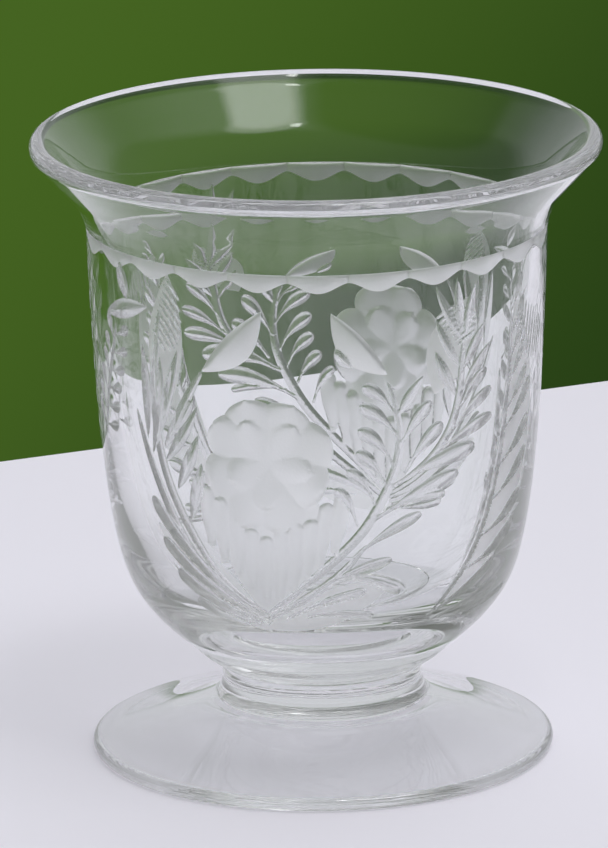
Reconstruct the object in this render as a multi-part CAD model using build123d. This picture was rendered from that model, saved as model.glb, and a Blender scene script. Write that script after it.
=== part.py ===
from build123d import *
from math import acos, atan2, cos, degrees, hypot, radians, sin, tan
import os

# A footed shot glass of clear, hand-worked glass, in millimetres.
# The origin is on the table under the middle of the foot, and +Z is the glass's own axis.
# Its four gathers of glass are fused one on top of another: foot, stem, merese and bowl.
# Each outline below is half of a section, in X (radius) and Z (height), turned once around +Z.

# Heights of the joins between the gathers
FOOT_TOP_Z = 5.0
STEM_TOP_Z = 8.4
MERESE_TOP_Z = 10.3
RIM_Z = 57.8

# Foot: a low cone of even thickness with a rounded rim, standing on a narrow flat ring
FOOT_R = 21.2
FOOT_RIM_THICK = 1.3
FOOT_RING_INNER_R = 19.75
FOOT_HOLLOW_DEPTH = 4.3
FOOT_HOLLOW = [(16.0, 1.0), (12.2, 2.35), (9.0, 3.55), (6.5, 4.1)]
FOOT_SLOPE = [(12.2, 3.85), (16.0, 2.4)]

# Stem: a short wide drum, slightly waisted
STEM_BASE_R = 9.7
STEM_WAIST_R = 9.2
STEM_TOP_R = 9.35

# Merese: a thin rounded collar that widens from the stem to the underside of the bowl
MERESE_BASE_R = 9.55
MERESE_MIDDLE_R = 11.05
MERESE_TOP_R = 12.1

# Bowl: a rounded lip, a thin flare, and a wall that thickens steadily down to a heavy bottom
LIP_R = 26.0
LIP_THICK = 1.7
WALL = 1.4
FLARE_ANGLE = 43
FLARE_BEND_R = 6.5
SHOULDER_R = 20.95
BELLY_TOP_Z = 36.0
OUTER_BELLY = [(20.4, BELLY_TOP_Z), (19.75, 27.5), (18.75, 20.7), (17.2, 15.9), (15.0, 12.95)]
INNER_BELLY = [(18.65, BELLY_TOP_Z), (17.55, 27.5), (16.15, 21.4), (14.3, 17.6), (11.4, 15.2), (7.2, 13.8)]
FLOOR_Z = 13.4

# Border: a ring of scallops, each cut by a wheel that lies flat and touches the wall once
SCALLOP_COUNT = 24
SCALLOP_TOP_Z = 49.8
SCALLOP_CUT_DEPTH = 0.3
WHEEL_R = 28.0
WHEEL_EDGE_R = 2.2


def turned(*edges):
    """Turn a closed outline of edges once around the glass's axis."""
    outline = make_face(Wire(list(edges)))
    return revolve(outline, Axis.Z, 360)


def xz(radius, height):
    """A point of a half section."""
    return Vector(radius, 0, height)


def line(start, end):
    return Edge.make_line(xz(*start), xz(*end))


def arc(centre, radius, start_angle, end_angle):
    """An arc of a half section, with angles in degrees anticlockwise from +X."""
    points = []
    for angle in (start_angle, (start_angle + end_angle) / 2, end_angle):
        across = radius * cos(radians(angle))
        along = radius * sin(radians(angle))
        points.append(xz(centre[0] + across, centre[1] + along))
    return Edge.make_three_point_arc(*points)


def curve(*points):
    """A smooth edge through (radius, height) points."""
    return Edge.make_spline([xz(*point) for point in points])


def start_of(edge):
    """The (radius, height) where an edge starts."""
    first = edge.position_at(0)
    return (first.X, first.Z)


def end_of(edge):
    """The (radius, height) where an edge ends."""
    last = edge.position_at(1)
    return (last.X, last.Z)


def make_foot():
    rim_r = FOOT_RIM_THICK / 2
    rim = arc((FOOT_R - rim_r, rim_r), rim_r, 85, -90)
    return turned(
        line((0, FOOT_HOLLOW_DEPTH), (0, FOOT_TOP_Z)),
        line((0, FOOT_TOP_Z), (STEM_BASE_R, FOOT_TOP_Z)),
        curve((STEM_BASE_R, FOOT_TOP_Z), *FOOT_SLOPE, start_of(rim)),
        rim,
        line(end_of(rim), (FOOT_RING_INNER_R, 0)),
        curve((FOOT_RING_INNER_R, 0), *FOOT_HOLLOW, (0, FOOT_HOLLOW_DEPTH)),
    )


def make_stem():
    waist_z = (FOOT_TOP_Z + STEM_TOP_Z) / 2
    base = (STEM_BASE_R, FOOT_TOP_Z)
    top = (STEM_TOP_R, STEM_TOP_Z)
    return turned(
        line((0, FOOT_TOP_Z), base),
        curve(base, (STEM_WAIST_R, waist_z), top),
        line(top, (0, STEM_TOP_Z)),
        line((0, STEM_TOP_Z), (0, FOOT_TOP_Z)),
    )


def make_merese():
    middle_z = (STEM_TOP_Z + MERESE_TOP_Z) / 2
    base = (MERESE_BASE_R, STEM_TOP_Z)
    top = (MERESE_TOP_R, MERESE_TOP_Z)
    return turned(
        line((0, STEM_TOP_Z), base),
        Edge.make_three_point_arc(xz(*base), xz(MERESE_MIDDLE_R, middle_z), xz(*top)),
        line(top, (0, MERESE_TOP_Z)),
        line((0, MERESE_TOP_Z), (0, STEM_TOP_Z)),
    )


def make_plain_bowl():
    """The lip is rounded, and a straight flare and a bend, both tangent, join it to the wall."""
    lip_r = LIP_THICK / 2
    lip_centre = (LIP_R - lip_r, RIM_Z - lip_r)
    lip_start_r = lip_centre[0] + lip_r * cos(radians(FLARE_ANGLE))
    lip_start_z = lip_centre[1] - lip_r * sin(radians(FLARE_ANGLE))
    bend_end_r = SHOULDER_R + FLARE_BEND_R * (1 - cos(radians(FLARE_ANGLE)))
    bend_end_z = lip_start_z - (lip_start_r - bend_end_r) / tan(radians(FLARE_ANGLE))
    shoulder_z = bend_end_z - FLARE_BEND_R * sin(radians(FLARE_ANGLE))
    bend_centre = (SHOULDER_R + FLARE_BEND_R, shoulder_z)
    inner_bend_r = FLARE_BEND_R + WALL

    # The inside of the flare is the line that touches both the lip's circle and the inner bend's
    across = lip_centre[0] - bend_centre[0]
    along = lip_centre[1] - bend_centre[1]
    opening = acos((inner_bend_r - lip_r) / hypot(across, along))
    tangent_at = degrees(atan2(along, across) + opening)

    lip = arc(lip_centre, lip_r, -FLARE_ANGLE, tangent_at)
    outer_bend = arc(bend_centre, FLARE_BEND_R, 180, 180 - FLARE_ANGLE)
    inner_bend = arc(bend_centre, inner_bend_r, tangent_at, 180)
    seat = (MERESE_TOP_R, MERESE_TOP_Z)
    return turned(
        line((0, MERESE_TOP_Z), seat),
        curve(seat, *reversed(OUTER_BELLY)),
        line(OUTER_BELLY[0], start_of(outer_bend)),
        outer_bend,
        line(end_of(outer_bend), start_of(lip)),
        lip,
        line(end_of(lip), start_of(inner_bend)),
        inner_bend,
        line(end_of(inner_bend), INNER_BELLY[0]),
        curve(*INNER_BELLY, (0, FLOOR_Z)),
        line((0, FLOOR_Z), (0, MERESE_TOP_Z)),
    )


def make_border_cutters():
    """Flat wheels around the bowl, each sunk a little into the wall below the border's top line."""
    reach = SHOULDER_R - SCALLOP_CUT_DEPTH + WHEEL_R
    wheel = Torus(WHEEL_R - WHEEL_EDGE_R, WHEEL_EDGE_R)
    lower_half = Pos(0, 0, -WHEEL_EDGE_R) * Box(3 * WHEEL_R, 3 * WHEEL_R, 2 * WHEEL_EDGE_R)
    cutter = Pos(reach, 0, SCALLOP_TOP_Z) * (wheel & lower_half)
    step = 360 / SCALLOP_COUNT
    return [Rot(0, 0, index * step) * cutter for index in range(SCALLOP_COUNT)]


def make_bowl():
    bowl = make_plain_bowl()
    for cutter in make_border_cutters():
        bowl = bowl - cutter
    return bowl


PARTS = {
    "foot": make_foot,
    "stem": make_stem,
    "merese": make_merese,
    "bowl": make_bowl,
}

os.makedirs("parts", exist_ok=True)
for name, make in PARTS.items():
    export_step(make(), f"parts/{name}.step")
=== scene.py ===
"""The looks of the footed shot glass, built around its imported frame.

Sizes are in millimetres, and MM turns them into Blender's metres. A place on the outside of
the bowl is (angle, height): degrees from the front, which faces -Y, growing towards +X, and
millimetres above the table. A section is drawn as (radius, height) points.
"""
import copy
import math
import random

import bpy
import numpy as np
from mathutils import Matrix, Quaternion, Vector, noise
from mathutils.geometry import delaunay_2d_cdt


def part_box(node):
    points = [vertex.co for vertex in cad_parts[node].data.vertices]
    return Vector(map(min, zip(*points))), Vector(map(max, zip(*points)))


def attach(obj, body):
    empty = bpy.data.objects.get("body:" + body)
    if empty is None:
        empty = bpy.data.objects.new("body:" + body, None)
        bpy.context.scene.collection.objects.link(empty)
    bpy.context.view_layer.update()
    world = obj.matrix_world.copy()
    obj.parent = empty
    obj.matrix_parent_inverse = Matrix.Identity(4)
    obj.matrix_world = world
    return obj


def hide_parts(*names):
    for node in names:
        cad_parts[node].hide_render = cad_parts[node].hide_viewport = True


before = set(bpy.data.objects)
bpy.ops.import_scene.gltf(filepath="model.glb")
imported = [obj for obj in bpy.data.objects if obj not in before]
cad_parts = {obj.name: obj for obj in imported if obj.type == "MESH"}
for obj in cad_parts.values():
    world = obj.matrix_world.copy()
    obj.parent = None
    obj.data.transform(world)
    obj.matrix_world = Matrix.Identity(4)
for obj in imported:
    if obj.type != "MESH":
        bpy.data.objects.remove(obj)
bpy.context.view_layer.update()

MM = 0.001

# Heights of the joins, as in the frame
FOOT_TOP_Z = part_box("foot")[1].z / MM
STEM_TOP_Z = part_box("stem")[1].z / MM
MERESE_TOP_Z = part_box("merese")[1].z / MM
RIM_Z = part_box("bowl")[1].z / MM

# Foot, stem and merese: the same sections as in the frame
FOOT_R = 21.2
FOOT_RIM_THICK = 1.3
FOOT_RING_INNER_R = 19.75
FOOT_HOLLOW_DEPTH = 4.3
FOOT_HOLLOW = [(16.0, 1.0), (12.2, 2.35), (9.0, 3.55), (6.5, 4.1)]
FOOT_SLOPE = [(12.2, 3.85), (16.0, 2.4)]
STEM_BASE_R = 9.7
STEM_WAIST_R = 9.2
STEM_TOP_R = 9.35
MERESE_BASE_R = 9.55
MERESE_MIDDLE_R = 11.05
MERESE_TOP_R = 12.1

# Bowl section
LIP_R = 26.0
LIP_THICK = 1.7
WALL = 1.4
FLARE_ANGLE = math.radians(43)
FLARE_BEND_R = 6.5
SHOULDER_R = 20.95
OUTER_BELLY = [(15.0, 12.95), (17.2, 15.9), (18.75, 20.7), (19.75, 27.5), (20.4, 36.0), (20.75, 43.0)]
INNER_BELLY = [
    (19.25, 43.0), (18.65, 36.0), (17.55, 27.5), (16.15, 21.4), (14.3, 17.6), (11.4, 15.2), (7.2, 13.8),
]
FLOOR_Z = 13.4

# Meshing: points around a turn and up the seam, and how far apart points are along sections and
# cuts, inside cuts and between them. Rows are nearer than columns, for triangles with equal sides.
SEGMENTS = 256
SEAM_POINTS = 90
OUTLINE_STEP = 0.35
EDGE_STEP = 0.22
CUT_STEP = 0.24
PLAIN_STEP = 1.4
ROW_PITCH = 0.866

# Points nearer than CLOSEST in a cut's outline are left out, and ones nearer than TOUCH are the same
CLOSEST = 0.03
TOUCH = 1e-4

# The engraved part of the bowl's outside, and the radius at which it is unrolled
PATTERN_LOW_Z = 13.6
PATTERN_HIGH_Z = 51.6
UNROLLED_R = 20.4
TURN = 2 * math.pi * UNROLLED_R

# How far the second motif is from exactly opposite the first
MOTIF_SLIP = 2.8

# Border: scallops that hang from a line, with how far they reach above it and below it
SCALLOP_COUNT = 24
SCALLOP_TOP_Z = 49.8
SCALLOP_ABOVE = 0.12
SCALLOP_LOW = 1.6
SCALLOP_HIGH = 0.65

# Each motif's flower, as a place on the bowl and its size across half its petals
FLOWER_PLACE = (-14, 32.3)
FLOWER_SIZE = 6.1

# Depths of petals, of leaves along a stem and of hatching
PETAL_DEPTH = 0.34
ALONG_DEPTH = 0.4
HATCH_DEPTH = 0.16

# Where the engraver's hand starts its small errors
HAND_SEED = 11

# The slow unevenness of the foot's top: its height, and how quickly it comes and goes
RIPPLE = 0.12
RIPPLE_RATE = 0.13


# ---------------------------------------------------------------- sections

def spline(points, step):
    """A natural cubic spline through the points, sampled about a step apart."""
    knots = np.array(points, float)
    span = np.linalg.norm(np.diff(knots, axis=0), axis=1)
    count = len(knots)
    system = np.eye(count)
    target = np.zeros((count, 2))
    for i in range(1, count - 1):
        system[i, i - 1:i + 2] = span[i - 1], 2 * (span[i - 1] + span[i]), span[i]
        kink = (knots[i + 1] - knots[i]) / span[i] - (knots[i] - knots[i - 1]) / span[i - 1]
        target[i] = 6 * kink
    curvature = np.linalg.solve(system, target)
    samples = []
    for i in range(count - 1):
        pieces = max(2, int(round(span[i] / step)))
        for k in range(pieces):
            a = 1 - k / pieces
            b = k / pieces
            bow = (a ** 3 - a) * curvature[i] + (b ** 3 - b) * curvature[i + 1]
            samples.append(a * knots[i] + b * knots[i + 1] + bow * span[i] ** 2 / 6)
    samples.append(knots[-1])
    return np.array(samples)


def straight(start, end, step):
    """Evenly spaced points of a line, without its last one."""
    start = np.array(start, float)
    end = np.array(end, float)
    pieces = max(1, int(round(np.linalg.norm(end - start) / step)))
    return start + (end - start) * np.arange(pieces)[:, None] / pieces


def arc(centre, radius, start, end, pieces):
    """Points of an arc, its ends included, with angles in radians anticlockwise from +X."""
    angles = np.linspace(start, end, pieces + 1)
    return np.stack([centre[0] + radius * np.cos(angles), centre[1] + radius * np.sin(angles)], 1)


def bowl_section():
    """The bowl's outline from the edge of its seat, up outside, over the lip and down to the floor."""
    lip_r = LIP_THICK / 2
    lip_centre = np.array([LIP_R - lip_r, RIM_Z - lip_r])
    lip_start = lip_centre + lip_r * np.array([math.cos(FLARE_ANGLE), -math.sin(FLARE_ANGLE)])
    bend_end_r = SHOULDER_R + FLARE_BEND_R * (1 - math.cos(FLARE_ANGLE))
    bend_end_z = lip_start[1] - (lip_start[0] - bend_end_r) / math.tan(FLARE_ANGLE)
    shoulder_z = bend_end_z - FLARE_BEND_R * math.sin(FLARE_ANGLE)
    bend_centre = np.array([SHOULDER_R + FLARE_BEND_R, shoulder_z])
    inner_bend_r = FLARE_BEND_R + WALL
    across = lip_centre - bend_centre
    opening = math.acos((inner_bend_r - lip_r) / np.linalg.norm(across))
    tangent_at = math.atan2(across[1], across[0]) + opening
    lip = arc(lip_centre, lip_r, -FLARE_ANGLE, tangent_at, 16)
    outer_bend = arc(bend_centre, FLARE_BEND_R, math.pi, math.pi - FLARE_ANGLE, 12)
    inner_bend = arc(bend_centre, inner_bend_r, tangent_at, math.pi, 14)
    outer_wall = spline([(MERESE_TOP_R, MERESE_TOP_Z), *OUTER_BELLY, outer_bend[0]], OUTLINE_STEP)
    inner_wall = spline([inner_bend[-1], *INNER_BELLY, (0, FLOOR_Z)], 2 * OUTLINE_STEP)
    return np.concatenate([
        outer_wall[:-1],
        outer_bend[:-1],
        straight(outer_bend[-1], lip[0], OUTLINE_STEP),
        lip[:-1],
        straight(lip[-1], inner_bend[0], OUTLINE_STEP),
        inner_bend[:-1],
        inner_wall,
    ])


def foot_section():
    """The foot's outline from the middle of its hollow, over the rim, to the middle of its top."""
    rim_r = FOOT_RIM_THICK / 2
    rim = arc((FOOT_R - rim_r, rim_r), rim_r, -math.pi / 2, math.radians(85), 12)
    hollow = spline([(0, FOOT_HOLLOW_DEPTH), *FOOT_HOLLOW[::-1], (FOOT_RING_INNER_R, 0)], 3 * OUTLINE_STEP)
    ring = straight((FOOT_RING_INNER_R, 0), rim[0], 2 * OUTLINE_STEP)
    top = spline([rim[-1], *FOOT_SLOPE[::-1], (STEM_BASE_R, FOOT_TOP_Z)], 2 * OUTLINE_STEP)
    return np.concatenate([hollow[:-1], ring, rim[:-1], top, [(0, FOOT_TOP_Z)]])


def stem_section():
    """A short drum, slightly waisted, from the middle of its bottom to the middle of its top."""
    waist_z = (FOOT_TOP_Z + STEM_TOP_Z) / 2
    side = spline([(STEM_BASE_R, FOOT_TOP_Z), (STEM_WAIST_R, waist_z), (STEM_TOP_R, STEM_TOP_Z)], 0.25)
    return np.concatenate([[(0, FOOT_TOP_Z)], side, [(0, STEM_TOP_Z)]])


def merese_section():
    """A rounded collar that widens upwards, with its bottom a little wider than the stem."""
    middle_z = (STEM_TOP_Z + MERESE_TOP_Z) / 2
    corners = [(MERESE_BASE_R, STEM_TOP_Z), (MERESE_MIDDLE_R, middle_z), (MERESE_TOP_R, MERESE_TOP_Z)]
    side = spline(corners, 0.2)
    return np.concatenate([[(0, STEM_TOP_Z), (STEM_TOP_R, STEM_TOP_Z)], side, [(0, MERESE_TOP_Z)]])


def lengths_along(path):
    """How far along a path each of its points is."""
    return np.concatenate([[0.0], np.cumsum(np.linalg.norm(np.diff(path, axis=0), axis=1))])


def facing(path):
    """The outward direction at each point of an outline that runs with the glass on its left."""
    along = np.gradient(path, axis=0)
    outward = np.stack([along[:, 1], -along[:, 0]], 1)
    return outward / np.linalg.norm(outward, axis=1)[:, None]


def in_space(angles, radii, heights):
    """Millimetres in the frame from angles in radians and millimetres."""
    return np.stack([radii * np.sin(angles), -radii * np.cos(angles), heights + 0 * angles], -1)


# ---------------------------------------------------------------- wheel cuts

SECTION = bowl_section()
ALONG = lengths_along(SECTION)
OUTWARD = facing(SECTION)
LIP_INDEX = int(np.argmax(SECTION[:, 1]))


def run_at(height):
    """How far along the outside of the bowl a height is, from the seat."""
    return np.interp(height, SECTION[:LIP_INDEX, 1], ALONG[:LIP_INDEX])


def unrolled(place):
    """The flat position, in millimetres, of a place on the outside of the bowl."""
    angle, height = place
    return np.array([math.radians(angle) * UNROLLED_R, run_at(height)])


def rise(t, low, high):
    """0 below low, 1 above high, and a smooth step between."""
    share = np.clip((t - low) / (high - low), 0, 1)
    return share * share * (3 - 2 * share)


def round_end(t, start):
    """1 up to start, and then a quarter turn down to 0."""
    return np.sqrt(1 - np.clip((t - start) / (1 - start), 0, 1) ** 2)


def lens(t):
    """Pointed at both ends and widest in the middle."""
    return np.sin(np.pi * t) ** 0.85


def paddle(t):
    """A thin tail that swells into a round end."""
    return (0.22 + 0.78 * rise(t, 0.2, 0.75)) * round_end(t, 0.78)


def petal(t):
    """Half as wide at its root, with a full round end."""
    return (0.45 + 0.55 * rise(t, 0.0, 0.6)) * round_end(t, 0.6)


def sweep(t):
    """A long even stroke that starts thin."""
    return (0.3 + 0.7 * rise(t, 0.0, 0.7)) * round_end(t, 0.9)


def blade(t):
    """A broad upright stroke with a narrow root and a blunt top."""
    return (0.5 + 0.5 * rise(t, 0.0, 0.5)) * round_end(t, 0.85)


def hair(t):
    """An even line with short round ends."""
    return np.sin(np.pi * t) ** 0.4


# Each form has its width along the spine, how square its section is, and the surface it is left with
FORMS = {
    "lens": (lens, 1.9, "bright"),
    "paddle": (paddle, 2.3, "bright"),
    "sweep": (sweep, 1.6, "bright"),
    "hair": (hair, 1.4, "bright"),
    "petal": (petal, 2.4, "matt"),
    "blade": (blade, 2.2, "matt"),
    "bud": (lens, 1.9, "matt"),
    "patch": (lens, 2.0, "matt"),
    "band": (hair, 1.4, "matt"),
}
CUT_SURFACES = ("bright", "matt")
SURFACES = ("clear",) + CUT_SURFACES


class Cut:
    """One pass of the engraver's wheel: a shallow scoop along a spine."""

    def __init__(self, spine, left, right, depth, form):
        profile, self.roundness, self.surface = FORMS[form]
        self.spine = spine
        self.along = lengths_along(spine) / lengths_along(spine)[-1]
        swell = profile(self.along)
        self.left = left * swell
        self.right = right * swell
        if form == "petal":
            self.depth = depth * (0.2 + 0.8 * self.along ** 1.5)
        else:
            self.depth = depth * (0.3 + 0.7 * swell)

    def sideways(self):
        """The direction to the left of each point of the spine."""
        direction = np.gradient(self.spine, axis=0)
        direction /= np.linalg.norm(direction, axis=1)[:, None]
        return np.stack([-direction[:, 1], direction[:, 0]], 1)

    def outline(self):
        """The closed line around the cut."""
        side = self.sideways()
        left = self.spine + side * self.left[:, None]
        right = self.spine - side * self.right[:, None]
        loop = np.concatenate([left, right[::-1]])
        keep = np.linalg.norm(loop - np.roll(loop, 1, axis=0), axis=1) > CLOSEST
        return loop[keep]

    def depth_at(self, points):
        """How deep this cut is at each flat point, and 0 outside it."""
        found = np.zeros(len(points))
        reach = max(self.left.max(), self.right.max())
        low = self.spine.min(axis=0) - reach
        high = self.spine.max(axis=0) + reach
        near = np.nonzero(np.all((points > low) & (points < high), axis=1))[0]
        if not len(near):
            return found

        # The nearest step of the spine to each point, how far along it, and on which side
        start = self.spine[:-1]
        step = self.spine[1:] - start
        offset = points[near, None, :] - start[None]
        share = np.clip((offset * step).sum(-1) / (step ** 2).sum(-1), 0, 1)
        gap = offset - share[..., None] * step
        distance = np.linalg.norm(gap, axis=-1)
        nearest = distance.argmin(axis=1)
        row = np.arange(len(near))
        share = share[row, nearest]
        distance = distance[row, nearest]
        step = step[nearest]
        gap = gap[row, nearest]
        side = step[:, 0] * gap[:, 1] - step[:, 1] * gap[:, 0]

        def blend(values):
            """Values of the spine's points where each point is nearest to it."""
            return values[nearest] * (1 - share) + values[nearest + 1] * share

        half = np.where(side > 0, blend(self.left), blend(self.right))
        across = distance / np.maximum(half, 1e-6)
        inside = across < 1
        found[near[inside]] = (blend(self.depth) * (1 - across ** self.roundness))[inside]
        return found

    def shifted(self, distance):
        """The same cut further around the bowl."""
        moved = copy.copy(self)
        moved.spine = self.spine + np.array([distance, 0.0])
        return moved


hand = random.Random(HAND_SEED)


def wobble(amount):
    """One of the hand's small errors, either way."""
    return hand.uniform(-amount, amount)


def bowed(start, end, width, bend, form, depth, lean=0.0):
    """A cut between two flat points. bend bows it to its left, and lean moves its width to that side."""
    chord = end - start
    left = np.array([-chord[1], chord[0]])
    middle = (start + end) / 2 + left * (bend + wobble(0.02))
    pieces = max(14, int(np.linalg.norm(chord) / EDGE_STEP))
    t = (0.5 - 0.5 * np.cos(np.pi * np.arange(pieces + 1) / pieces))[:, None]
    spine = start * (1 - t) ** 2 + middle * 2 * t * (1 - t) + end * t ** 2
    half = width / 2 * (1 + wobble(0.08))
    return Cut(spine, half * (1 + lean), half * (1 - lean), depth, form)


def leaf(root, tip, width, bend=0.0, form="lens", depth=0.3, lean=0.0):
    """A cut between two places on the bowl."""
    start = unrolled(root) + np.array([wobble(0.06), wobble(0.06)])
    end = unrolled(tip) + np.array([wobble(0.12), wobble(0.12)])
    return bowed(start, end, width, bend, form, depth, lean)


def stem(places, width, depth=0.26):
    """A line of even width through places on the bowl."""
    points = spline([unrolled(place) for place in places], EDGE_STEP)
    return Cut(points, width / 2, width / 2, depth, "hair")


def leaves_along(places, first, last, count, side, turn, length, width, bend, form="paddle"):
    """Leaves that leave one side of a stem. side is 1 for its left, and turn is in degrees from it.

    turn, length and width each run evenly from a first value to a last one.
    """
    points = spline([unrolled(place) for place in places], EDGE_STEP)
    along = lengths_along(points) / lengths_along(points)[-1]
    direction = np.gradient(points, axis=0)
    heading = np.unwrap(np.arctan2(direction[:, 1], direction[:, 0]))
    cuts = []
    for k in range(count):
        share = k / max(1, count - 1)
        at = first + (last - first) * share
        root = np.array([np.interp(at, along, points[:, i]) for i in (0, 1)])
        angle = math.radians(turn[0] + (turn[1] - turn[0]) * share + wobble(3))
        way = np.interp(at, along, heading) + side * angle
        reach = (length[0] + (length[1] - length[0]) * share) * (1 + wobble(0.06))
        tip = root + reach * np.array([math.cos(way), math.sin(way)])
        wide = width[0] + (width[1] - width[0]) * share
        cuts.append(bowed(root, tip, wide, side * bend, form, ALONG_DEPTH))
    return cuts


def hatch(start, end, reach, count, width=0.34):
    """Short parallel strokes with their tops on a line. reach is one stroke's way in flat millimetres."""
    first = unrolled(start)
    last = unrolled(end)
    cuts = []
    for k in range(count):
        share = k / (count - 1)
        top = first + (last - first) * share
        size = 0.75 + 0.4 * math.sin(math.pi * share)
        cuts.append(bowed(top, top + np.array(reach) * size, width, 0.03, "hair", HATCH_DEPTH))
    return cuts


def matt(root, tip, width, depth=0.07, lean=0.0, bend=0.0):
    """A broad, barely sunk patch that the wheel has only dulled."""
    return leaf(root, tip, width, bend=bend, form="patch", depth=depth, lean=lean)


def leaves(form, places, bend=0.0, depth=0.32):
    """Leaves of one form, each with its root, its tip and its width."""
    return [leaf(root, tip, width, bend=bend, form=form, depth=depth) for root, tip, width in places]


# Stems, as places from the root up
LEFT_STEM = [(-15, 17.5), (-28, 20.6), (-36, 24.6), (-42, 28.6), (-45.5, 33), (-46, 38), (-43, 45.5)]
LOW_LEFT_STEM = [(-15, 17.2), (-29, 19.8), (-38.5, 23.6), (-45, 27.8), (-50, 31.8), (-53.5, 35.6)]
RIGHT_STEM = [
    (-16, 17.5), (-5, 20.5), (4.5, 23.4), (11.5, 26), (16, 28.6), (19.5, 31.6), (20.5, 34.5), (17, 39.8),
]
UPPER_STEM = [(20, 30), (29, 32), (35.5, 35), (38, 39), (38.5, 43)]
SIDE_STEM = [(34, 17), (43, 20.6), (50, 25.4), (54, 31), (56, 37), (56.5, 44)]
EDGE_STEM = [(-73, 31.5), (-69, 35.5), (-65, 39), (-61, 43)]
FERN_STEM = [(96, 27.5), (98, 34), (99, 40), (99, 47.5)]


def left_branch():
    """Long sweeps that peel away outside, upright leaves inside, and a bud leaf on a bowed stalk."""
    cuts = [
        stem(LEFT_STEM, 1.05),
        stem(LOW_LEFT_STEM, 1.1, depth=0.32),
        stem([(-43.5, 32.4), (-37, 36.6), (-30.5, 40.4)], 0.95),
        leaf((-30.5, 40.4), (-14.5, 46.5), 2.7, bend=0.03, form="bud", depth=0.42, lean=-0.65),
        leaf((-42, 33.6), (-34.5, 37.4), 1.0, bend=-0.1, form="sweep"),
    ]
    cuts += leaves("sweep", [
        ((-17, 17.4), (-50, 27.6), 1.35),
        ((-17, 17), (-47, 23.8), 1.45),
        ((-18, 16.6), (-43, 20.8), 1.4),
        ((-22, 16.4), (-38, 18.2), 1.1),
    ], bend=0.08, depth=0.45)
    cuts += leaves("lens", [
        ((-44, 31), (-32.5, 37), 1.25),
        ((-40, 28.8), (-32.5, 34.4), 1.35),
        ((-36.5, 26), (-31.5, 31.8), 1.45),
        ((-48, 32), (-37.5, 42), 1.35),
        ((-48, 31.6), (-44, 41), 1.3),
        ((-49.5, 33), (-50, 42), 1.3),
    ], bend=-0.06, depth=0.42)
    cuts.append(matt((-44, 35), (-39.5, 49), 4.0))
    cuts.append(matt((-15, 15.8), (-49, 25), 4.2))
    cuts += hatch((-45.5, 43.5), (-40.5, 48.6), (2.0, -2.6), 9, 0.42)
    return cuts


def right_branch():
    """A stem of paddles: long ones below, short bowed ones on its left and a dense tuft above."""
    cuts = [
        stem(RIGHT_STEM, 1.0),
        stem([(-16, 17), (-4, 19.4), (6, 22), (12, 24.4)], 0.9),
        stem(UPPER_STEM, 0.9),
        leaf((17, 40.4), (3, 46.3), 2.7, bend=-0.02, form="bud", depth=0.42, lean=0.65),
        leaf((8, 41.2), (4, 43.2), 1.0, bend=0.1),
    ]
    cuts += leaves("paddle", [
        ((8, 23), (27, 26.9), 1.35),
        ((-6, 19), (19.5, 22.8), 1.2),
        ((12, 26.4), (38.5, 30.2), 1.75),
        ((19, 29.8), (43.5, 32.4), 1.9),
        ((29, 32), (49.5, 35), 1.35),
        ((34, 33.6), (49, 37.4), 1.2),
        ((36.5, 35.6), (47, 39.6), 1.1),
        ((22, 31), (33, 35.2), 1.45),
        ((20.5, 33.2), (29.5, 37.4), 1.3),
    ], bend=0.1, depth=0.46)
    cuts += leaves("paddle", [
        ((19, 36.6), (10.5, 39.4), 1.25),
        ((20, 34.4), (10, 37.6), 1.4),
        ((18.5, 32), (9.5, 35.4), 1.4),
        ((16.5, 30.2), (9, 33.4), 1.3),
        ((14, 28.4), (7, 31.6), 1.25),
        ((9.5, 26.4), (3.5, 30), 1.15),
    ], bend=-0.16, depth=0.44)
    cuts += leaves("sweep", [
        ((6, 21.6), (22.5, 19.4), 1.0),
        ((-10, 17.2), (12.5, 19.8), 1.0),
        ((-4, 17.4), (15, 17.2), 0.9),
        ((17.5, 27.8), (34.5, 28.4), 0.85),
    ], bend=0.1)
    cuts += leaves("lens", [
        ((20, 36.4), (27, 40), 1.15),
        ((37, 37.4), (30, 42), 1.1),
        ((38, 40), (30.5, 45), 1.0),
        ((38.5, 42.4), (30, 48), 1.05),
        ((38.5, 43), (36, 48.6), 1.15),
        ((39.5, 42.6), (42, 47.6), 1.05),
        ((39, 40), (46, 44), 1.2),
        ((38.5, 37.8), (49, 42), 1.15),
    ], bend=0.05)
    cuts.append(matt((30, 38), (41, 46.5), 5.6))
    cuts.append(matt((-17, 16), (20, 20.5), 3.6))
    cuts += hatch((30, 45), (37, 42.2), (2.6, 1.3), 8, 0.42)
    return cuts


def flower(centre, size):
    """Broad, soft, overlapping scoops in two rings, deepest at their outer edge.

    Each ring has a number of petals, three shares of the flower's size (how far out they reach,
    where they start and how broad they are), and the direction of its first one in degrees.
    """
    middle = unrolled(centre)
    tallness = 1.08
    cuts = []
    rings = [(8, 1.0, 0.25, 0.78, 20), (5, 0.66, 0.05, 0.62, 54)]
    for count, reach, inner, breadth, turn in rings:
        for k in range(count):
            direction = math.radians(turn + k * 360 / count + wobble(9))
            way = np.array([math.cos(direction), tallness * math.sin(direction)])
            far = size * reach * (1 + wobble(0.07))
            start = middle + way * size * inner
            tip = middle + way * far
            cuts.append(bowed(start, tip, size * breadth, wobble(0.06), "petal", PETAL_DEPTH))
    return cuts


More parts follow.
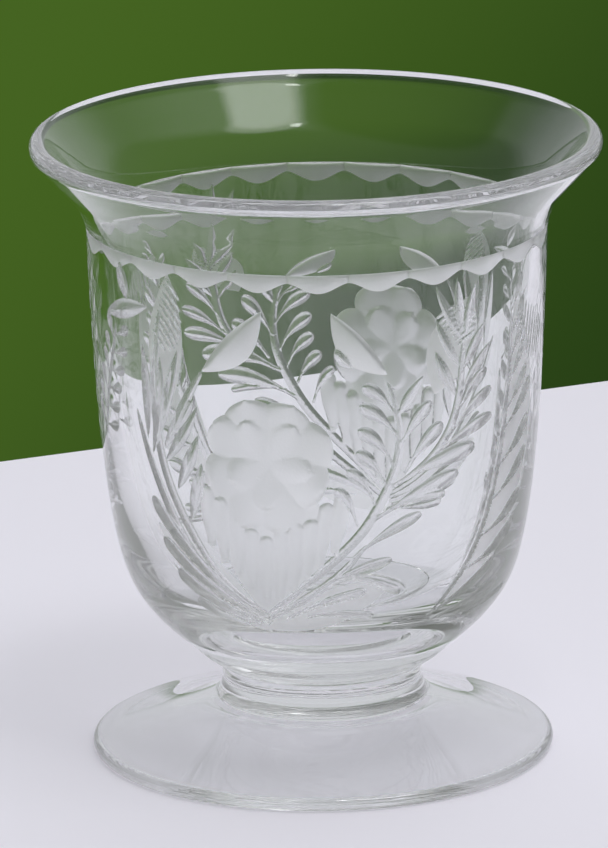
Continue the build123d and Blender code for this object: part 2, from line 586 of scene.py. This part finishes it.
def grass():
    """Broad upright blades that stand side by side on the two stems and reach up behind the flower."""
    cuts = []
    for fan in np.linspace(-1, 1, 10):
        low_z = 18.8 + 5.2 * abs(fan) ** 1.2
        tip_z = 25.5 + 4.2 * abs(fan) ** 1.5 + wobble(0.5)
        root = (-13.5 + 17 * fan, low_z)
        tip = (-12.5 + 18.5 * fan, tip_z)
        cuts.append(leaf(root, tip, 1.75, bend=0.03 * fan, form="blade", depth=0.32))
    cuts.append(matt((-14, 16.9), (-12, 34), 10.5, depth=0.05))
    return cuts


def side_spray():
    """A tall spray of long paddles on its right side and sweeps along its left."""
    cuts = [
        stem(SIDE_STEM, 1.1),
        stem([(36, 17.6), (44, 22), (49, 27), (51.5, 33), (52, 39)], 0.9),
        matt((38, 17.5), (58, 45), 7.0, lean=-0.5, bend=-0.16),
    ]
    cuts += leaves("sweep", [
        ((32, 16.6), (56, 20.6), 1.1),
        ((34, 16.2), (62, 18.2), 1.1),
        ((37, 16), (70, 17), 0.9),
    ], bend=-0.05, depth=0.42)
    cuts += leaves_along(SIDE_STEM, 0.16, 0.62, 5, -1, (34, 44), (8.0, 6.0), (1.35, 1.3), 0.12)
    cuts += leaves_along(SIDE_STEM, 0.68, 1.0, 5, -1, (38, 26), (5.0, 3.6), (1.1, 0.85), 0.1)
    cuts += leaves_along(SIDE_STEM, 0.4, 0.96, 7, 1, (36, 24), (2.8, 2.4), (1.0, 0.8), 0.12, "lens")
    cuts += hatch((61, 45), (76, 42), (-0.8, -4.2), 10, 0.42)
    return cuts


def edge_spray():
    """Short dark leaves on a leaning stem, with a long one lying over them and one upright above."""
    cuts = [
        stem(EDGE_STEM, 0.6),
        leaf((-66, 43.6), (-47.5, 45.4), 1.7, bend=0.05, depth=0.36),
        leaf((-55.5, 45.6), (-59, 49), 1.5, depth=0.3),
    ]
    cuts += leaves_along(EDGE_STEM, 0.05, 0.85, 6, 1, (48, 40), (3.0, 2.4), (1.2, 1.0), 0.12)
    cuts += leaves_along(EDGE_STEM, 0.1, 0.9, 6, -1, (60, 50), (2.8, 2.6), (1.15, 1.0), 0.12)
    return cuts


def fern():
    """The upright frond between the two flowers."""
    cuts = [stem(FERN_STEM, 0.6)]
    for side in (1, -1):
        cuts += leaves_along(FERN_STEM, 0.08, 0.82, 6, side, (34, 26), (4.2, 3.6), (1.25, 1.0), 0.1, "lens")
    return cuts


def border():
    """The scallops that hang from the border's straight top line."""
    cuts = []
    top = run_at(SCALLOP_TOP_Z)
    pitch = TURN / SCALLOP_COUNT
    t = np.linspace(0, 1, 30)
    lobe = 0.5 - 0.5 * np.cos(2 * np.pi * t)
    for k in range(SCALLOP_COUNT):
        x = k * pitch + (t - 0.5) * pitch
        spine = np.stack([x, np.full(len(t), top)], 1)
        cut = Cut(spine, 0.0, 0.0, 0.0, "band")
        # A scallop has a shape of its own in place of its form's
        cut.left = np.full(len(t), SCALLOP_ABOVE)
        cut.right = SCALLOP_HIGH + (SCALLOP_LOW - SCALLOP_HIGH) * lobe ** 0.8
        cut.depth = 0.1 + 0.16 * np.sin(np.pi * t)
        cuts.append(cut)
    return cuts


def all_cuts():
    """Both motifs and the border."""
    cuts = []
    for start in (0.0, TURN / 2 - MOTIF_SLIP):
        motif = left_branch() + right_branch() + flower(FLOWER_PLACE, FLOWER_SIZE) + grass()
        motif += side_spray() + edge_spray() + fern()
        cuts += [cut.shifted(start) for cut in motif]
    return cuts + border()


def with_wraps(cuts):
    """The cuts with each one that may cross the seam repeated a turn away."""
    margin = 3
    result = []
    for cut in cuts:
        for turns in (-1, 0, 1):
            moved = cut.shifted(turns * TURN)
            across = moved.spine[:, 0]
            if across.max() > -margin and across.min() < TURN + margin:
                result.append(moved)
    return result


# ---------------------------------------------------------------- the engraved bowl

def grid_points(step, low, high):
    """Staggered points that repeat exactly from one turn to the next."""
    columns = int(round(TURN / step))
    rows = int((high - low) / (step * ROW_PITCH))
    points = []
    for row in range(1, rows):
        height = low + (high - low) * row / rows
        shift = 0.5 if row % 2 else 0.25
        points += [(TURN * (column + shift) / columns, height) for column in range(columns)]
    return np.array(points)


def deepest(cuts, points):
    """The deepest cut at each flat point, and the number of the surface it leaves."""
    depth = np.zeros(len(points))
    surface = np.zeros(len(points), int)
    for cut in cuts:
        here = cut.depth_at(points)
        deeper = here > depth
        depth[deeper] = here[deeper]
        surface[deeper] = SURFACES.index(cut.surface)
    return depth, surface


def engraved_strip(low, high):
    """Triangles of the unrolled outside between two runs, with every cut's edge among their sides.

    Returned with them are the depth of each point and the number of each triangle's surface.
    """
    cuts = with_wraps(all_cuts())
    barely_cut = 0.02
    same_point = 1e-5
    points = []
    edges = []

    def add_loop(loop, closed):
        """Points whose sides the triangles have to keep."""
        first = len(points)
        points.extend(loop)
        count = len(loop)
        last = count if closed else count - 1
        edges.extend((first + i, first + (i + 1) % count) for i in range(last))

    columns = np.linspace(0, TURN, SEGMENTS + 1)
    add_loop([(x, low) for x in columns], False)
    add_loop([(x, high) for x in columns], False)
    seam = np.linspace(low, high, SEAM_POINTS)
    add_loop([(0.0, y) for y in seam], False)
    add_loop([(TURN, y) for y in seam], False)
    for cut in cuts:
        add_loop([tuple(p) for p in cut.outline()], True)

    fine = grid_points(CUT_STEP, low, high)
    fine_depth, _ = deepest(cuts, fine)
    plain = grid_points(PLAIN_STEP, low, high)
    plain_depth, _ = deepest(cuts, plain)
    points.extend(map(tuple, fine[fine_depth > barely_cut]))
    points.extend(map(tuple, plain[plain_depth == 0]))

    flat, _, faces, _, _, _ = delaunay_2d_cdt([Vector(p) for p in points], edges, [], 0, same_point)
    flat = np.array([(p.x, p.y) for p in flat])
    faces = np.array([face for face in faces if len(face) == 3])
    centres = flat[faces].mean(axis=1)
    inside = (centres[:, 0] > 0) & (centres[:, 0] < TURN) & (centres[:, 1] > low) & (centres[:, 1] < high)
    faces = faces[inside]
    depth, _ = deepest(cuts, flat)
    _, surface = deepest(cuts, centres[inside])
    return flat, faces, depth, surface


def weld_seam(flat, faces):
    """Make the two ends of the strip share their points, and say which triangles are still whole."""
    left = np.nonzero(np.abs(flat[:, 0]) < TOUCH)[0]
    right = np.nonzero(np.abs(flat[:, 0] - TURN) < TOUCH)[0]
    left = left[np.argsort(flat[left, 1])]
    right = right[np.argsort(flat[right, 1])]
    target = np.arange(len(flat))
    pairs = np.abs(flat[right, 1][:, None] - flat[left, 1][None]).argmin(axis=1)
    target[right] = left[pairs]
    welded = target[faces]
    whole = np.all(welded != np.roll(welded, 1, axis=1), axis=1)
    return welded, whole


def outside_at(values, runs):
    """The outside's two values, such as radius and height, at distances along it."""
    return np.stack([np.interp(runs, ALONG[:LIP_INDEX], values[:LIP_INDEX, i]) for i in (0, 1)], 1)


def build_bowl():
    """One closed mesh: seat, engraved outside, flare, lip and inside."""
    low_index = int(np.searchsorted(SECTION[:LIP_INDEX, 1], PATTERN_LOW_Z))
    high_index = int(np.searchsorted(SECTION[:LIP_INDEX, 1], PATTERN_HIGH_Z))
    low = ALONG[low_index]
    high = ALONG[high_index]
    flat, strip, depth, surface = engraved_strip(low, high)
    strip, whole = weld_seam(flat, strip)

    outward = outside_at(OUTWARD, flat[:, 1])
    outward /= np.linalg.norm(outward, axis=1)[:, None]
    sunk = outside_at(SECTION, flat[:, 1]) - outward * depth[:, None]
    angles = flat[:, 0] / UNROLLED_R
    points = [in_space(angles, sunk[:, 0], sunk[:, 1])]
    normals = [in_space(angles, outward[:, 0], outward[:, 1])]
    faces = [tuple(face) for face in strip[whole]]
    kinds = [SURFACES[number] for number in surface[whole]]

    def boundary(run):
        """The points of the strip's lower or upper edge, in order."""
        on_line = np.nonzero((np.abs(flat[:, 1] - run) < TOUCH) & (flat[:, 0] < TURN - TOUCH))[0]
        return on_line[np.argsort(flat[on_line, 0])]

    turn = 2 * math.pi * np.arange(SEGMENTS) / SEGMENTS
    total = len(flat)

    def add_ring(index):
        """A ring of points at one point of the section."""
        nonlocal total
        points.append(in_space(turn, SECTION[index, 0], SECTION[index, 1]))
        normals.append(in_space(turn, OUTWARD[index, 0], OUTWARD[index, 1]))
        total += SEGMENTS
        return np.arange(total - SEGMENTS, total)

    def add_middle(height, up):
        """A point on the axis that faces up or down."""
        nonlocal total
        points.append(np.array([[0.0, 0.0, height]]))
        normals.append(np.array([[0.0, 0.0, up]]))
        total += 1
        return total - 1

    def bridge(rings):
        """Clear faces between each ring and the next."""
        for lower, upper in zip(rings, rings[1:]):
            for i, j in enumerate(np.roll(np.arange(SEGMENTS), -1)):
                faces.append((lower[i], lower[j], upper[j], upper[i]))
                kinds.append("clear")

    below = [add_ring(i) for i in range(low_index)]
    bridge(below + [boundary(low)])
    above = [add_ring(i) for i in range(high_index + 1, len(SECTION) - 1)]
    bridge([boundary(high)] + above)
    seat = below[0]
    innermost = above[-1]
    floor = add_middle(FLOOR_Z, 1.0)
    under = add_middle(MERESE_TOP_Z, -1.0)
    for i in range(SEGMENTS):
        j = (i + 1) % SEGMENTS
        faces.append((innermost[i], innermost[j], floor))
        kinds.append("clear")
        faces.append((seat[j], seat[i], under))
        kinds.append("join")
    return make_mesh("bowl_engraved", np.concatenate(points), faces, kinds, np.concatenate(normals))


# ---------------------------------------------------------------- plain turned pieces

def build_turned(name, path, joins, ripple=0.0):
    """A closed turned piece. joins are the (height, radius) flats where it is fused to its neighbours.

    ripple is how far the sides that face upwards rise and fall.
    """
    on_axis = 1e-6
    upward = 0.3
    outward = facing(path)
    turn = 2 * math.pi * np.arange(SEGMENTS) / SEGMENTS
    points = []
    normals = []
    rings = []
    total = 0
    for (radius, height), (out, up) in zip(path, outward):
        if radius < on_axis:
            points.append(np.array([[0.0, 0.0, height]]))
            normals.append(np.array([[0.0, 0.0, math.copysign(1.0, up)]]))
            rings.append([total] * SEGMENTS)
            total += 1
            continue
        sway = ripple * hand_sway(turn, radius) if up > upward else np.zeros(SEGMENTS)
        points.append(in_space(turn, radius + out * sway, height + up * sway))
        normals.append(in_space(turn, np.full(SEGMENTS, out), np.full(SEGMENTS, up)))
        rings.append(list(range(total, total + SEGMENTS)))
        total += SEGMENTS

    faces = []
    kinds = []
    for index in range(len(path) - 1):
        radii, heights = path[index:index + 2].T
        fused = any(
            np.abs(heights - height).max() < TOUCH and radii.max() < radius + TOUCH
            for height, radius in joins
        )
        for i in range(SEGMENTS):
            j = (i + 1) % SEGMENTS
            corners = (rings[index][i], rings[index][j], rings[index + 1][j], rings[index + 1][i])
            faces.append(tuple(dict.fromkeys(corners)))
            kinds.append("join" if fused else "clear")
    return make_mesh(name, np.concatenate(points), faces, kinds, np.concatenate(normals))


def hand_sway(turn, radius):
    """A slow unevenness, in -1 to 1, that dies away at the stem and at the rim."""
    share = min(1.0, max(0.0, (radius - STEM_BASE_R) / (FOOT_R - STEM_BASE_R)))
    ring = [Vector((radius * math.sin(angle), radius * math.cos(angle), 0)) for angle in turn]
    spots = [point * RIPPLE_RATE for point in ring]
    return np.array([noise.noise(spot) for spot in spots]) * math.sin(math.pi * share)


def without_loose(points, normals, faces):
    """The points that faces use, their directions, and the faces numbered to match."""
    in_use = sorted({corner for face in faces for corner in face})
    renumbered = {old: new for new, old in enumerate(in_use)}
    faces = [tuple(renumbered[corner] for corner in face) for face in faces]
    return points[in_use], normals[in_use], faces


def cut_directions(points, triangles, planes):
    """At each point, the mean direction of the cut triangles that meet there, by their areas."""
    corners = points[triangles]
    area = np.linalg.norm(np.cross(corners[:, 1] - corners[:, 0], corners[:, 2] - corners[:, 0]), axis=1)
    total = np.zeros_like(points)
    for corner in range(3):
        np.add.at(total, triangles[:, corner], planes * area[:, None])
    return total / np.maximum(np.linalg.norm(total, axis=1), 1e-12)[:, None]


def shading_directions(mesh, points, faces, kinds, normals):
    """Each face corner's shading direction: its point's, the cuts' own, or square to a join."""
    loops = np.zeros(len(mesh.loops), np.int32)
    mesh.loops.foreach_get("vertex_index", loops)
    planes = np.zeros(len(faces) * 3)
    mesh.polygons.foreach_get("normal", planes)
    planes = planes.reshape(-1, 3)
    face_of_loop = np.repeat(np.arange(len(faces)), [len(face) for face in faces])
    is_cut = np.array([kind in CUT_SURFACES for kind in kinds])
    is_join = np.array([kind == "join" for kind in kinds])
    shading = normals[loops]
    if is_cut.any():
        triangles = np.array([face for face, cut in zip(faces, is_cut) if cut])
        cut_loops = is_cut[face_of_loop]
        shading[cut_loops] = cut_directions(points, triangles, planes[is_cut])[loops[cut_loops]]
    join_loops = is_join[face_of_loop]
    shading[join_loops] = planes[face_of_loop[join_loops]]
    return shading


def make_mesh(name, points, faces, kinds, normals):
    """A mesh object with one material per kind of face and its own shading directions."""
    points, normals, faces = without_loose(points, normals, faces)
    mesh = bpy.data.meshes.new(name)
    mesh.from_pydata((points * MM).tolist(), [], faces)
    used = [kind for kind in MATERIALS if kind in kinds]
    for kind in used:
        mesh.materials.append(MATERIALS[kind])
    slot = {kind: index for index, kind in enumerate(used)}
    mesh.polygons.foreach_set("material_index", [slot[kind] for kind in kinds])
    mesh.polygons.foreach_set("use_smooth", [True] * len(faces))
    mesh.update()
    mesh.normals_split_custom_set(shading_directions(mesh, points, faces, kinds, normals).tolist())
    obj = bpy.data.objects.new(name, mesh)
    bpy.context.scene.collection.objects.link(obj)
    return obj


# ---------------------------------------------------------------- materials

GLASS_TINT = (0.975, 0.985, 0.98, 1.0)
GLASS_IOR = 1.5


def new_material(name):
    """A material with its nodes, its links and its shader."""
    material = bpy.data.materials.new(name)
    material.use_nodes = True
    nodes = material.node_tree.nodes
    return material, nodes, material.node_tree.links, nodes["Principled BSDF"]


def object_noise(nodes, links, scale, detail, stretch=(1, 1, 1)):
    """Noise that is fixed to the glass. scale is in steps to a metre."""
    place = nodes.new("ShaderNodeTexCoord")
    mapping = nodes.new("ShaderNodeMapping")
    mapping.inputs["Scale"].default_value = stretch
    grain = nodes.new("ShaderNodeTexNoise")
    grain.inputs["Scale"].default_value = scale
    grain.inputs["Detail"].default_value = detail
    links.new(place.outputs["Object"], mapping.inputs["Vector"])
    links.new(mapping.outputs["Vector"], grain.inputs["Vector"])
    return grain


def add_bump(nodes, links, height, shader, strength, distance):
    """Unevenness too fine for the mesh. distance is in metres."""
    bump = nodes.new("ShaderNodeBump")
    bump.inputs["Strength"].default_value = strength
    bump.inputs["Distance"].default_value = distance
    links.new(height, bump.inputs["Height"])
    links.new(bump.outputs["Normal"], shader.inputs["Normal"])


def clear_glass():
    """Polished glass with the slow waves that hand work leaves in it."""
    material, nodes, links, shader = new_material("clear_glass")
    shader.inputs["Base Color"].default_value = GLASS_TINT
    shader.inputs["Transmission Weight"].default_value = 1.0
    shader.inputs["IOR"].default_value = GLASS_IOR
    shader.inputs["Roughness"].default_value = 0.0
    waves = object_noise(nodes, links, scale=90, detail=1.5, stretch=(1, 1, 0.45))
    add_bump(nodes, links, waves.outputs["Fac"], shader, strength=0.055, distance=0.0006)
    return material


def cut_glass(name, colour, clearness, roughness):
    """The grainy surface that a stone wheel leaves. clearness is how much light it lets through."""
    material, nodes, links, shader = new_material(name)
    shader.inputs["Base Color"].default_value = colour
    shader.inputs["Transmission Weight"].default_value = clearness
    shader.inputs["IOR"].default_value = GLASS_IOR
    shader.inputs["Roughness"].default_value = roughness
    grain = object_noise(nodes, links, scale=5200, detail=2.0)
    add_bump(nodes, links, grain.outputs["Fac"], shader, strength=0.35, distance=0.00004)
    return material


def fused_join():
    """Where two gathers of glass are melted together nothing shows."""
    material = bpy.data.materials.new("fused_join")
    material.use_nodes = True
    nodes = material.node_tree.nodes
    nodes.clear()
    output = nodes.new("ShaderNodeOutputMaterial")
    nothing = nodes.new("ShaderNodeBsdfTransparent")
    material.node_tree.links.new(nothing.outputs["BSDF"], output.inputs["Surface"])
    return material


MATERIALS = {
    "clear": clear_glass(),
    "bright": cut_glass("bright_cut_glass", (0.86, 0.87, 0.87, 1.0), clearness=0.86, roughness=0.25),
    "matt": cut_glass("matt_cut_glass", (0.98, 0.99, 0.985, 1.0), clearness=0.75, roughness=0.38),
    "join": fused_join(),
}


# ---------------------------------------------------------------- the glass

def build_glass():
    """The four gathers, each in place of its node."""
    foot_join = (FOOT_TOP_Z, STEM_BASE_R)
    stem_join = (STEM_TOP_Z, STEM_TOP_R)
    merese_join = (MERESE_TOP_Z, MERESE_TOP_R)
    pieces = {
        "foot": build_turned("foot_turned", foot_section(), [foot_join], ripple=RIPPLE),
        "stem": build_turned("stem_turned", stem_section(), [foot_join, stem_join]),
        "merese": build_turned("merese_turned", merese_section(), [stem_join, merese_join]),
        "bowl": build_bowl(),
    }
    for node, piece in pieces.items():
        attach(piece, "root")
        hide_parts(node)


build_glass()


# ---------------------------------------------------------------- stage, light and camera

# The table, whose top is just far enough below the foot for the two not to lie in one plane
TABLE_BACK = 0.101
TABLE_REACH = 4.0
TABLE_TURN = math.radians(24)
TABLE_DROP = 0.02 * MM
TABLE_COLOUR = (0.88, 0.86, 0.94, 1.0)
TABLE_ROUGHNESS = 0.7

CAMERA_TILT = math.radians(15.63)
CAMERA_ROLL = math.radians(-0.75)
CAMERA_DISTANCE = 0.78
CAMERA_LENS = 362.4
CAMERA_AIM = Vector((-1.4, 0, 30.45)) * MM

LAMP_AIM = Vector((0, 0, 0.03))


def build_table():
    """A pale table top whose far edge lies a little way behind the glass."""
    near = -TABLE_REACH
    corners = [(near, near), (TABLE_REACH, near), (TABLE_REACH, TABLE_BACK), (near, TABLE_BACK)]
    mesh = bpy.data.meshes.new("table")
    mesh.from_pydata([(x, y, 0) for x, y in corners], [], [(0, 1, 2, 3)])
    table = bpy.data.objects.new("table", mesh)
    table.rotation_euler[2] = TABLE_TURN
    table.location.z = -TABLE_DROP
    bpy.context.scene.collection.objects.link(table)
    material, _, _, shader = new_material("table_top")
    shader.inputs["Base Color"].default_value = TABLE_COLOUR
    shader.inputs["Roughness"].default_value = TABLE_ROUGHNESS
    table.data.materials.append(material)


def build_world():
    """A soft sky overhead with one bright gap and one dim patch, a pale haze, and green low down behind."""
    world = bpy.data.worlds.new("surroundings")
    bpy.context.scene.world = world
    world.use_nodes = True
    nodes = world.node_tree.nodes
    links = world.node_tree.links
    place = nodes.new("ShaderNodeTexCoord")

    def along(direction, low, high):
        """0 to 1 as the view direction's share along a vector goes from low to high, smoothly."""
        share = nodes.new("ShaderNodeVectorMath")
        share.operation = "DOT_PRODUCT"
        share.inputs[1].default_value = direction
        links.new(place.outputs["Generated"], share.inputs[0])
        span = nodes.new("ShaderNodeMapRange")
        span.interpolation_type = "SMOOTHSTEP"
        span.inputs["From Min"].default_value = low
        span.inputs["From Max"].default_value = high
        links.new(share.outputs["Value"], span.inputs["Value"])
        return span.outputs["Result"]

    def mixed(share, low, high):
        """A colour that is low where share is 0 and high where it is 1."""
        mix = nodes.new("ShaderNodeMixRGB")
        links.new(share, mix.inputs["Fac"])
        for value, socket in ((low, mix.inputs["Color1"]), (high, mix.inputs["Color2"])):
            if isinstance(value, tuple):
                socket.default_value = value
            else:
                links.new(value, socket)
        return mix.outputs["Color"]

    lawn = mixed(along((-1.2, 0, 1), -0.33, -0.18), (0.019, 0.047, 0.008, 1), (0.06, 0.127, 0.016, 1))
    trees = (0.22, 0.23, 0.22, 1)
    sky = mixed(along((0, 0.2, 0.98), 0.66, 0.86), trees, (0.86, 0.87, 0.9, 1))
    haze = mixed(along((0, 1, 0.25), 0.5, 0.85), sky, (0.6, 0.61, 0.64, 1))
    far_side = mixed(along((0, 0, 1), -0.03, 0.06), lawn, haze)
    around = mixed(along((0, 1, 0), -0.02, 0.12), sky, far_side)
    shaded = mixed(along((-0.45, -0.1, 0.887), 0.8, 0.88), around, (0.1, 0.11, 0.09, 1))
    colour = mixed(along((0.27, -0.27, 0.924), 0.968, 0.986), shaded, (3.2, 3.2, 3.3, 1))
    links.new(colour, nodes["Background"].inputs["Color"])
    nodes["Background"].inputs["Strength"].default_value = 1.0


def add_area(name, place, size, power):
    """A rectangular lamp that faces the middle of the glass. Its power is in watts."""
    light = bpy.data.lights.new(name, "AREA")
    light.shape = "RECTANGLE"
    light.size, light.size_y = size
    light.energy = power
    lamp = bpy.data.objects.new(name, light)
    lamp.location = place
    lamp.rotation_euler = (LAMP_AIM - Vector(place)).to_track_quat("-Z", "Y").to_euler()
    bpy.context.scene.collection.objects.link(lamp)
    return lamp


def build_lights():
    """A small lamp that sparkles in the flare, and a wide shadowless fill that the glass doesn't mirror."""
    add_area("spark", place=(0.13, -0.4, 1.25), size=(0.07, 0.13), power=0.35)
    fill = add_area("fill", place=(0.0, -0.6, 1.1), size=(1.2, 1.0), power=8.6)
    fill.data.use_shadow = False
    fill.visible_glossy = False
    fill.visible_transmission = False


def build_camera():
    """A long lens a little above the glass, looking at the middle of its height."""
    data = bpy.data.cameras.new("camera")
    data.sensor_width = 36
    data.lens = CAMERA_LENS
    data.clip_start = 0.01
    camera = bpy.data.objects.new("camera", data)
    away = Vector((0, -math.cos(CAMERA_TILT), math.sin(CAMERA_TILT)))
    camera.location = CAMERA_AIM + away * CAMERA_DISTANCE
    level = away.to_track_quat("Z", "Y")
    camera.rotation_euler = (level @ Quaternion((0, 0, 1), CAMERA_ROLL)).to_euler()
    bpy.context.scene.collection.objects.link(camera)
    bpy.context.scene.camera = camera


def let_light_run_in_glass():
    """Light that enters the lip is turned back many times inside the wall before it leaves."""
    cycles = bpy.context.scene.cycles
    cycles.max_bounces = 48
    cycles.glossy_bounces = 40
    cycles.transmission_bounces = 40
    cycles.transparent_max_bounces = 24


build_table()
build_world()
build_lights()
build_camera()
bpy.context.scene.view_settings.view_transform = "Standard"
let_light_run_in_glass()
